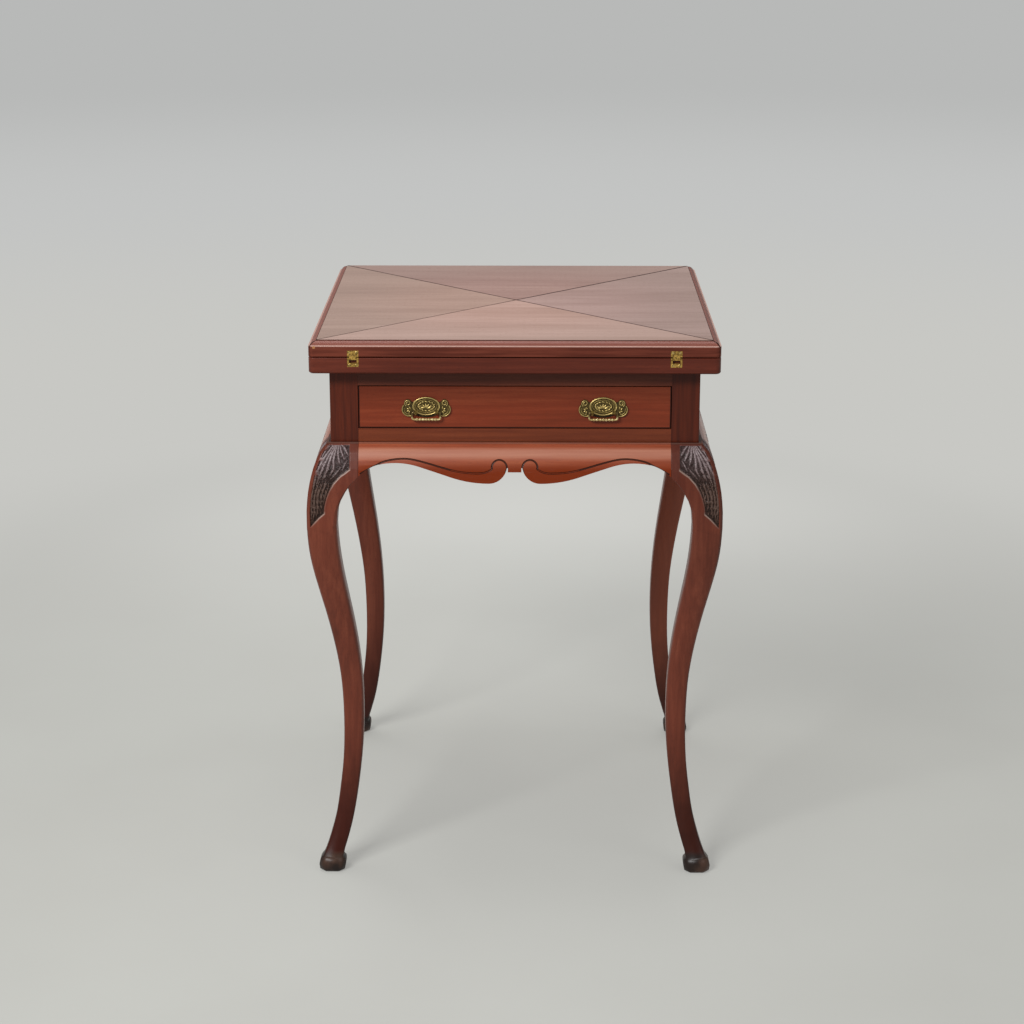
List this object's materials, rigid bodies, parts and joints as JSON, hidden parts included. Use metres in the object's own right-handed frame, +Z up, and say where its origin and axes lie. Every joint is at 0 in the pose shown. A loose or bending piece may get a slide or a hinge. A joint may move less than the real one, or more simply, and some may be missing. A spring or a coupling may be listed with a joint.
{
  "type": "side table",
  "caption": "Square mahogany envelope card table with folding triangular leaves, a swivelling baize-lined top, a frieze drawer and cabriole legs.",
  "frame": {"origin": "centre of the footprint on the floor", "axes": "+Z up, -Y out of the drawer front, +X to the right seen from the front"},
  "size_m": [0.5592, 0.5592, 0.7653],
  "materials": {
    "mahogany": "polished dark red-brown mahogany",
    "secondary_wood": "plain unpolished softwood and drawer linings",
    "baize": "green woollen baize",
    "brass": "stamped and cast brass, worn bright on raised edges",
    "iron": "dark oiled iron"
  },
  "bodies": {
    "frame": {"front_left_leg": "mahogany", "front_right_leg": "mahogany", "back_right_leg": "mahogany", "back_left_leg": "mahogany", "front_apron": "mahogany", "right_apron": "mahogany", "back_apron": "mahogany", "left_apron": "mahogany", "apron_glue_blocks": "secondary_wood", "front_top_rail": "mahogany", "front_bottom_rail": "mahogany", "back_frieze_rail": "mahogany", "left_frieze_rail": "mahogany", "right_frieze_rail": "mahogany", "drawer_runners": "secondary_wood", "drawer_guides": "secondary_wood", "drawer_kickers": "secondary_wood", "drawer_stops": "secondary_wood", "pivot_board": "secondary_wood", "pivot_bush": "brass"},
    "drawer": {"drawer_front": "mahogany", "drawer_left_side": "secondary_wood", "drawer_right_side": "secondary_wood", "drawer_bottom": "secondary_wood", "drawer_back": "secondary_wood", "handle_plates": "brass", "handle_studs": "brass", "handle_nuts": "brass"},
    "left_bail": {"left_handle_bail": "brass"},
    "right_bail": {"right_handle_bail": "brass"},
    "bed": {"bed_board": "mahogany", "bed_baize": "baize", "pivot_flange": "iron", "pivot_bolt": "iron", "pivot_washer": "iron", "pivot_nut": "iron", "stop_peg": "iron", "bed_front_hinge_plates": "brass", "bed_right_hinge_plates": "brass", "bed_back_hinge_plates": "brass", "bed_left_hinge_plates": "brass"},
    "front_links": {"front_hinge_links": "brass"},
    "front_leaf": {"front_leaf_board": "mahogany", "front_leaf_baize": "baize", "front_leaf_hinge_plates": "brass"},
    "right_links": {"right_hinge_links": "brass"},
    "right_leaf": {"right_leaf_board": "mahogany", "right_leaf_baize": "baize", "right_leaf_hinge_plates": "brass"},
    "back_links": {"back_hinge_links": "brass"},
    "back_leaf": {"back_leaf_board": "mahogany", "back_leaf_baize": "baize", "back_leaf_hinge_plates": "brass"},
    "left_links": {"left_hinge_links": "brass"},
    "left_leaf": {"left_leaf_board": "mahogany", "left_leaf_baize": "baize", "left_leaf_hinge_plates": "brass"}
  },
  "joints": [
    {"name": "top_swivel", "type": "hinge", "parent": "frame", "child": "bed", "pos_m": [0, 0, 0.7215], "axis": [0, 0, 1], "range_deg": [0, 45]},
    {"name": "drawer_slide", "type": "slide", "parent": "frame", "child": "drawer", "axis": [0, -1, 0], "range_m": [0, 0.27]},
    {"name": "left_bail_swing", "type": "hinge", "parent": "drawer", "child": "left_bail", "pos_m": [-0.1183, -0.2522, 0.664], "axis": [-1, 0, 0], "range_deg": [0, 80]},
    {"name": "right_bail_swing", "type": "hinge", "parent": "drawer", "child": "right_bail", "pos_m": [0.1183, -0.2522, 0.664], "axis": [-1, 0, 0], "range_deg": [0, 80]},
    {"name": "front_link_swing", "type": "hinge", "parent": "bed", "child": "front_links", "pos_m": [0, -0.2705, 0.741], "axis": [1, 0, 0], "range_deg": [0, 90]},
    {"name": "front_leaf_swing", "type": "hinge", "parent": "front_links", "child": "front_leaf", "pos_m": [0, -0.2705, 0.7463], "axis": [1, 0, 0], "range_deg": [0, 90]},
    {"name": "right_link_swing", "type": "hinge", "parent": "bed", "child": "right_links", "pos_m": [0.2705, 0, 0.741], "axis": [0, 1, 0], "range_deg": [0, 90]},
    {"name": "right_leaf_swing", "type": "hinge", "parent": "right_links", "child": "right_leaf", "pos_m": [0.2705, 0, 0.7463], "axis": [0, 1, 0], "range_deg": [0, 90]},
    {"name": "back_link_swing", "type": "hinge", "parent": "bed", "child": "back_links", "pos_m": [0, 0.2705, 0.741], "axis": [-1, 0, 0], "range_deg": [0, 90]},
    {"name": "back_leaf_swing", "type": "hinge", "parent": "back_links", "child": "back_leaf", "pos_m": [0, 0.2705, 0.7463], "axis": [-1, 0, 0], "range_deg": [0, 90]},
    {"name": "left_link_swing", "type": "hinge", "parent": "bed", "child": "left_links", "pos_m": [-0.2705, 0, 0.741], "axis": [0, -1, 0], "range_deg": [0, 90]},
    {"name": "left_leaf_swing", "type": "hinge", "parent": "left_links", "child": "left_leaf", "pos_m": [-0.2705, 0, 0.7463], "axis": [0, -1, 0], "range_deg": [0, 90]}
  ],
  "couplings": [
    {"joint": "front_link_swing", "follows": "front_leaf_swing", "ratio": 1},
    {"joint": "right_link_swing", "follows": "right_leaf_swing", "ratio": 1},
    {"joint": "back_link_swing", "follows": "back_leaf_swing", "ratio": 1},
    {"joint": "left_link_swing", "follows": "left_leaf_swing", "ratio": 1}
  ]
}
